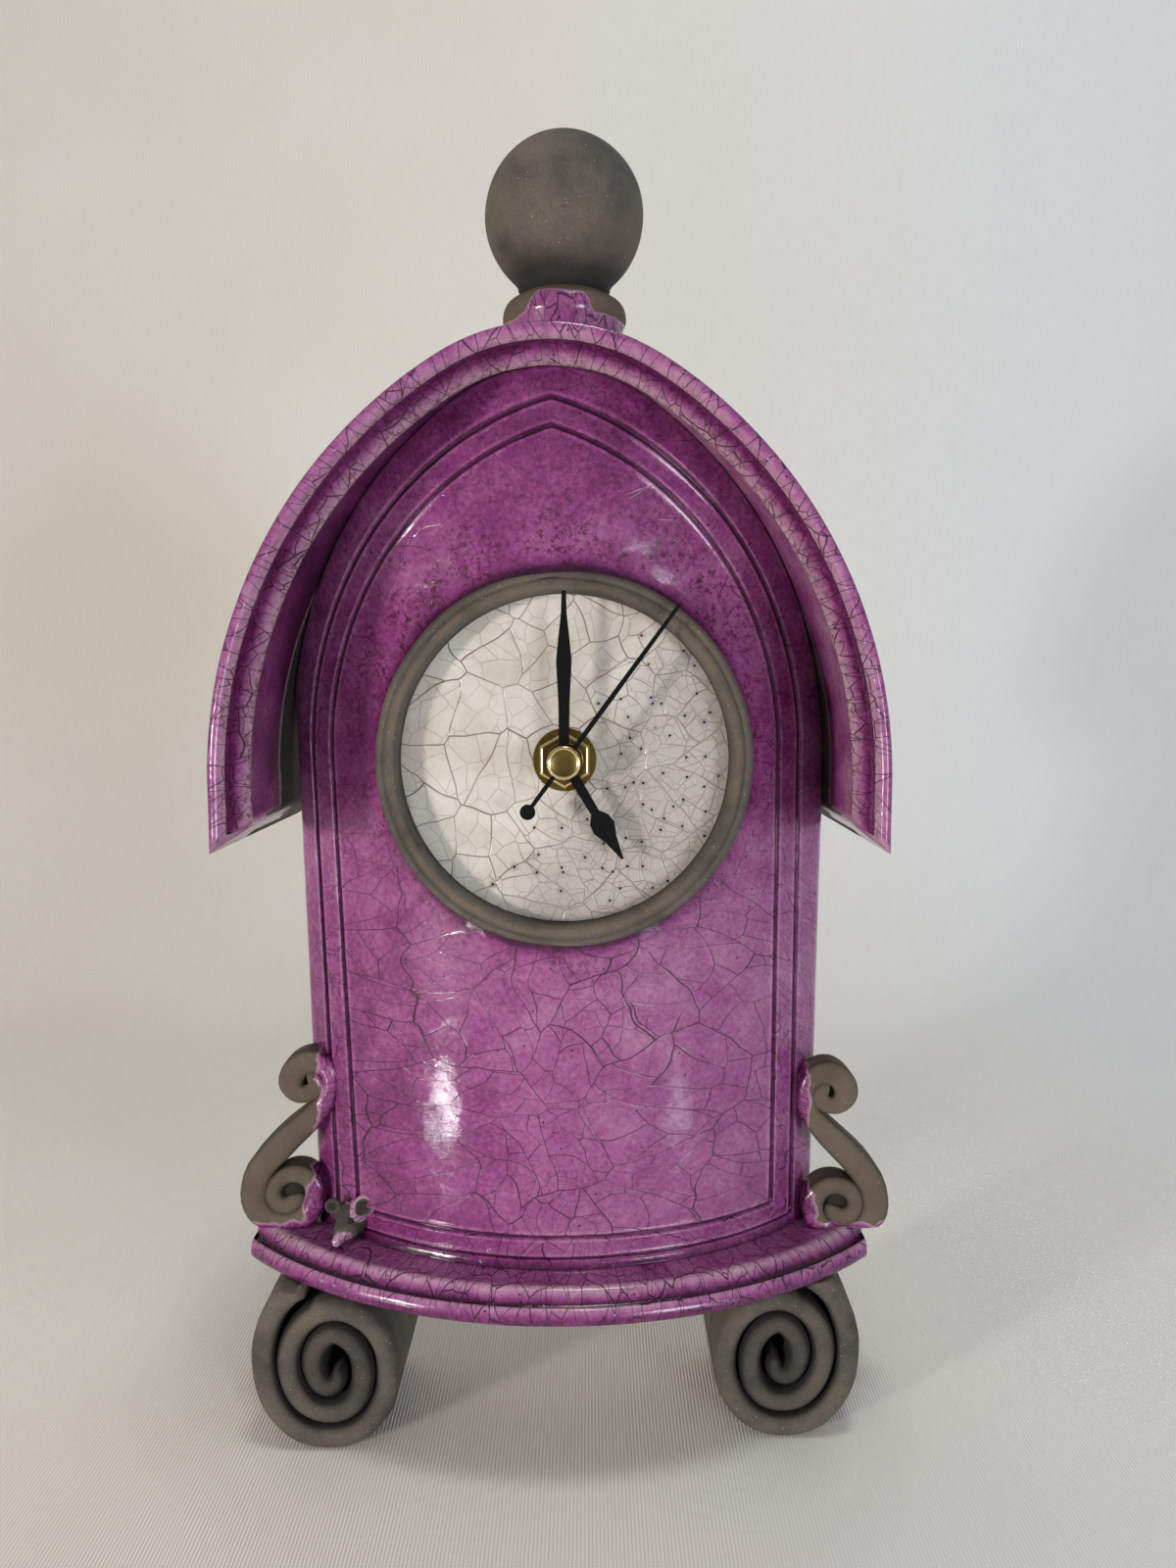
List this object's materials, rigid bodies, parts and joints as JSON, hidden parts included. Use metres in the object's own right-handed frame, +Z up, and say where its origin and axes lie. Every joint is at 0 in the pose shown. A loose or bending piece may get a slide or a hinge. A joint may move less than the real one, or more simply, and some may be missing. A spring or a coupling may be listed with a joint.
{
  "type": "beehive shelf clock",
  "caption": "Hand-built raku clay shelf clock: pointed-arch bowed front under a moulded hood, round crackle dial, quartz movement, ball finial, side scrolls, rolled feet and a small mouse.",
  "frame": {"origin": "middle of the clock's footprint on the shelf, at Z = 0", "axes": "+X to the clock's left hand side seen from behind, which is right seen from the front; +Y towards the back; +Z up; the dial faces -Y"},
  "size_m": [0.1749, 0.088, 0.3271],
  "materials": {
    "purple_glaze": "crackled raku glaze, glossy, dark where it pools",
    "grey_clay": "smoke-blackened bare clay, matt",
    "white_glaze": "white crackle glaze with pinholes",
    "brass": "plain turned brass",
    "black_metal": "stamped sheet, satin black",
    "black_plastic": "moulded, matt",
    "white_plastic": "moulded gear plastic",
    "black_rubber": "soft, matt",
    "steel": "plain sheet",
    "copper_wire": "enamelled copper winding",
    "green_board": "board with a black blob over the chip",
    "cell_sleeve": "plain printed sleeve, no lettering"
  },
  "bodies": {
    "case": {"roof_hood": "purple_glaze", "front_panel": "purple_glaze", "base_ledge": "purple_glaze", "mouse_head": "purple_glaze", "left_foot": "grey_clay", "right_foot": "grey_clay", "left_scroll": "grey_clay", "right_scroll": "grey_clay", "finial_collar": "grey_clay", "finial_ball": "grey_clay", "bezel_ring": "grey_clay", "mouse_left_ear": "grey_clay", "mouse_right_ear": "grey_clay", "dial_disc": "white_glaze", "movement_tray": "black_plastic", "movement_cover": "black_plastic", "threaded_bush": "brass", "rubber_gasket": "black_rubber", "brass_washer": "brass", "hex_nut": "brass", "motor_stator": "steel", "motor_coil": "copper_wire", "circuit_board": "green_board", "quartz_crystal": "steel", "contact_plus": "steel", "contact_minus": "steel"},
    "seconds": {"seconds_wheel": "white_plastic", "seconds_hand": "black_metal", "seconds_cap": "brass"},
    "minutes": {"centre_wheel": "white_plastic", "minute_hand": "black_metal", "minute_nut": "brass"},
    "hours": {"hour_wheel": "white_plastic", "hour_hand": "black_metal"},
    "setting": {"minute_wheel": "white_plastic", "setting_knob": "black_plastic"},
    "third": {"third_wheel": "white_plastic"},
    "intermediate": {"intermediate_wheel": "white_plastic"},
    "stepping_rotor": {"rotor": "white_plastic"},
    "battery": {"cell": "cell_sleeve"}
  },
  "joints": [
    {"name": "seconds_turn", "type": "hinge", "parent": "case", "child": "seconds", "pos_m": [0.002, -0.006, 0.176], "axis": [0, 1, 0], "continuous": true},
    {"name": "minutes_turn", "type": "hinge", "parent": "case", "child": "minutes", "pos_m": [0.002, -0.006, 0.176], "axis": [0, 1, 0], "continuous": true},
    {"name": "hours_turn", "type": "hinge", "parent": "case", "child": "hours", "pos_m": [0.002, -0.006, 0.176], "axis": [0, 1, 0], "continuous": true},
    {"name": "setting_turn", "type": "hinge", "parent": "case", "child": "setting", "pos_m": [0.0099, -0.006, 0.17144], "axis": [0, 1, 0], "continuous": true},
    {"name": "third_turn", "type": "hinge", "parent": "case", "child": "third", "pos_m": [0.002, -0.006, 0.1845], "axis": [0, 1, 0], "continuous": true},
    {"name": "intermediate_turn", "type": "hinge", "parent": "case", "child": "intermediate", "pos_m": [-0.00558, -0.006, 0.17162], "axis": [0, 1, 0], "continuous": true},
    {"name": "rotor_turn", "type": "hinge", "parent": "case", "child": "stepping_rotor", "pos_m": [-0.01149, -0.006, 0.17267], "axis": [0, 1, 0], "continuous": true},
    {"name": "cell_slide", "type": "slide", "parent": "case", "child": "battery", "axis": [0, 1, 0], "range_m": [0, 0.03]}
  ],
  "couplings": [
    {"joint": "third_turn", "follows": "seconds_turn", "ratio": -0.13333},
    {"joint": "minutes_turn", "follows": "seconds_turn", "ratio": 0.016667},
    {"joint": "setting_turn", "follows": "seconds_turn", "ratio": -0.0055556},
    {"joint": "hours_turn", "follows": "seconds_turn", "ratio": 0.0013889},
    {"joint": "intermediate_turn", "follows": "seconds_turn", "ratio": -6},
    {"joint": "rotor_turn", "follows": "seconds_turn", "ratio": 30}
  ]
}
